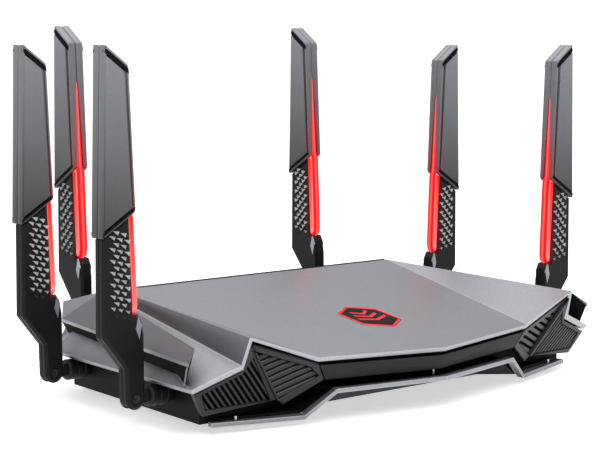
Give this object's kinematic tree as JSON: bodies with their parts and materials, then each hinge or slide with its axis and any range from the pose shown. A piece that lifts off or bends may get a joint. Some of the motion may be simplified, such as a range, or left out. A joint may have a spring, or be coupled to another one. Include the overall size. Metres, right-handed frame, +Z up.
{
  "type": "wireless router",
  "caption": "Low faceted desktop wireless router with slatted corner vents, folding swivelling paddle antennas with glowing edge bars, rear network ports and push buttons.",
  "frame": {"origin": "under the middle of the bounding box, on the surface the router stands on", "axes": "+X to the router's right, +Y to its rear where the ports are, +Z up"},
  "size_m": [0.3268, 0.2065, 0.1873],
  "materials": {
    "silver": "satin silver-grey paint with a fine metallic grain on moulded plastic",
    "black": "finely textured matte black plastic",
    "gloss_black": "gloss black window",
    "red_ring": "dark red gloss rim",
    "red_light": "glowing red light bar",
    "port_metal": "plated port shield",
    "port_blue": "blue port insert",
    "board": "green circuit board",
    "aluminium": "bare extruded aluminium",
    "foot_rubber": "soft black rubber"
  },
  "bodies": {
    "root": {"top_cover": "silver", "badge_ring": "red_ring", "badge_lens": "gloss_black", "front_bezel": "black", "vent_grille_left": "black", "vent_grille_right": "black", "wing_left": "silver", "wing_right": "silver", "lower_trim": "silver", "base_tray": "black", "rear_vent": "black", "rear_panel": "black", "usb_port": "port_metal", "wan_port": "port_blue", "lan_ports": "port_metal", "dc_jack": "black", "main_board": "board", "heatsink": "aluminium", "foot_front_left": "foot_rubber", "foot_front_right": "foot_rubber", "foot_rear_left": "foot_rubber", "foot_rear_right": "foot_rubber"},
    "power_button": {"power_button": "black"},
    "wps_button": {"wps_button": "black"},
    "led_button": {"led_button": "black"},
    "reset_button": {"reset_button": "black"},
    "antenna_left_front_knuckle": {"antenna_left_front_swivel": "black"},
    "antenna_left_front_blade": {"antenna_left_front_body": "black", "antenna_left_front_shell_a": "silver", "antenna_left_front_shell_b": "silver", "antenna_left_front_light": "red_light"},
    "antenna_left_rear_knuckle": {"antenna_left_rear_swivel": "black"},
    "antenna_left_rear_blade": {"antenna_left_rear_body": "black", "antenna_left_rear_shell_a": "silver", "antenna_left_rear_shell_b": "silver", "antenna_left_rear_light": "red_light"},
    "antenna_right_front_knuckle": {"antenna_right_front_swivel": "black"},
    "antenna_right_front_blade": {"antenna_right_front_body": "black", "antenna_right_front_shell_a": "silver", "antenna_right_front_shell_b": "silver", "antenna_right_front_light": "red_light"},
    "antenna_right_rear_knuckle": {"antenna_right_rear_swivel": "black"},
    "antenna_right_rear_blade": {"antenna_right_rear_body": "black", "antenna_right_rear_shell_a": "silver", "antenna_right_rear_shell_b": "silver", "antenna_right_rear_light": "red_light"},
    "antenna_back_left_knuckle": {"antenna_back_left_swivel": "black"},
    "antenna_back_left_blade": {"antenna_back_left_body": "black", "antenna_back_left_shell_a": "silver", "antenna_back_left_shell_b": "silver", "antenna_back_left_light": "red_light"},
    "antenna_back_right_knuckle": {"antenna_back_right_swivel": "black"},
    "antenna_back_right_blade": {"antenna_back_right_body": "black", "antenna_back_right_shell_a": "silver", "antenna_back_right_shell_b": "silver", "antenna_back_right_light": "red_light"}
  },
  "joints": [
    {"name": "power_button_press", "type": "slide", "parent": "root", "child": "power_button", "axis": [0, -1, 0], "range_m": [0, 0.002], "stiffness_N_per_m": 400, "springref_m": -0.0005},
    {"name": "wps_button_press", "type": "slide", "parent": "root", "child": "wps_button", "axis": [0, -1, 0], "range_m": [0, 0.001], "stiffness_N_per_m": 400, "springref_m": -0.0005},
    {"name": "led_button_press", "type": "slide", "parent": "root", "child": "led_button", "axis": [0, -1, 0], "range_m": [0, 0.001], "stiffness_N_per_m": 400, "springref_m": -0.0005},
    {"name": "reset_button_press", "type": "slide", "parent": "root", "child": "reset_button", "axis": [0, -1, 0], "range_m": [0, 0.0008], "stiffness_N_per_m": 400, "springref_m": -0.0005},
    {"name": "antenna_left_front_turn", "type": "hinge", "parent": "root", "child": "antenna_left_front_knuckle", "pos_m": [-0.1447, -0.0413, 0.0155], "axis": [1, 0, 0], "range_deg": [-12, 12]},
    {"name": "antenna_left_front_fold", "type": "hinge", "parent": "antenna_left_front_knuckle", "child": "antenna_left_front_blade", "pos_m": [-0.1447, -0.0413, 0.0155], "axis": [0, -1, 0], "range_deg": [0, 75]},
    {"name": "antenna_left_rear_turn", "type": "hinge", "parent": "root", "child": "antenna_left_rear_knuckle", "pos_m": [-0.1355, 0.0381, 0.0155], "axis": [1, 0, 0], "range_deg": [-12, 12]},
    {"name": "antenna_left_rear_fold", "type": "hinge", "parent": "antenna_left_rear_knuckle", "child": "antenna_left_rear_blade", "pos_m": [-0.1355, 0.0381, 0.0155], "axis": [0, -1, 0], "range_deg": [0, 75]},
    {"name": "antenna_right_front_turn", "type": "hinge", "parent": "root", "child": "antenna_right_front_knuckle", "pos_m": [0.1447, -0.0413, 0.0155], "axis": [1, 0, 0], "range_deg": [-12, 12]},
    {"name": "antenna_right_front_fold", "type": "hinge", "parent": "antenna_right_front_knuckle", "child": "antenna_right_front_blade", "pos_m": [0.1447, -0.0413, 0.0155], "axis": [0, 1, 0], "range_deg": [0, 75]},
    {"name": "antenna_right_rear_turn", "type": "hinge", "parent": "root", "child": "antenna_right_rear_knuckle", "pos_m": [0.1355, 0.0381, 0.0155], "axis": [1, 0, 0], "range_deg": [-12, 12]},
    {"name": "antenna_right_rear_fold", "type": "hinge", "parent": "antenna_right_rear_knuckle", "child": "antenna_right_rear_blade", "pos_m": [0.1355, 0.0381, 0.0155], "axis": [0, 1, 0], "range_deg": [0, 75]},
    {"name": "antenna_back_left_turn", "type": "hinge", "parent": "root", "child": "antenna_back_left_knuckle", "pos_m": [-0.084, 0.0845, 0.0255], "axis": [0, 1, 0], "range_deg": [-12, 12]},
    {"name": "antenna_back_left_fold", "type": "hinge", "parent": "antenna_back_left_knuckle", "child": "antenna_back_left_blade", "pos_m": [-0.084, 0.0845, 0.0255], "axis": [-1, 0, 0], "range_deg": [0, 90]},
    {"name": "antenna_back_right_turn", "type": "hinge", "parent": "root", "child": "antenna_back_right_knuckle", "pos_m": [0.084, 0.0845, 0.0255], "axis": [0, 1, 0], "range_deg": [-12, 12]},
    {"name": "antenna_back_right_fold", "type": "hinge", "parent": "antenna_back_right_knuckle", "child": "antenna_back_right_blade", "pos_m": [0.084, 0.0845, 0.0255], "axis": [-1, 0, 0], "range_deg": [0, 90]}
  ]
}
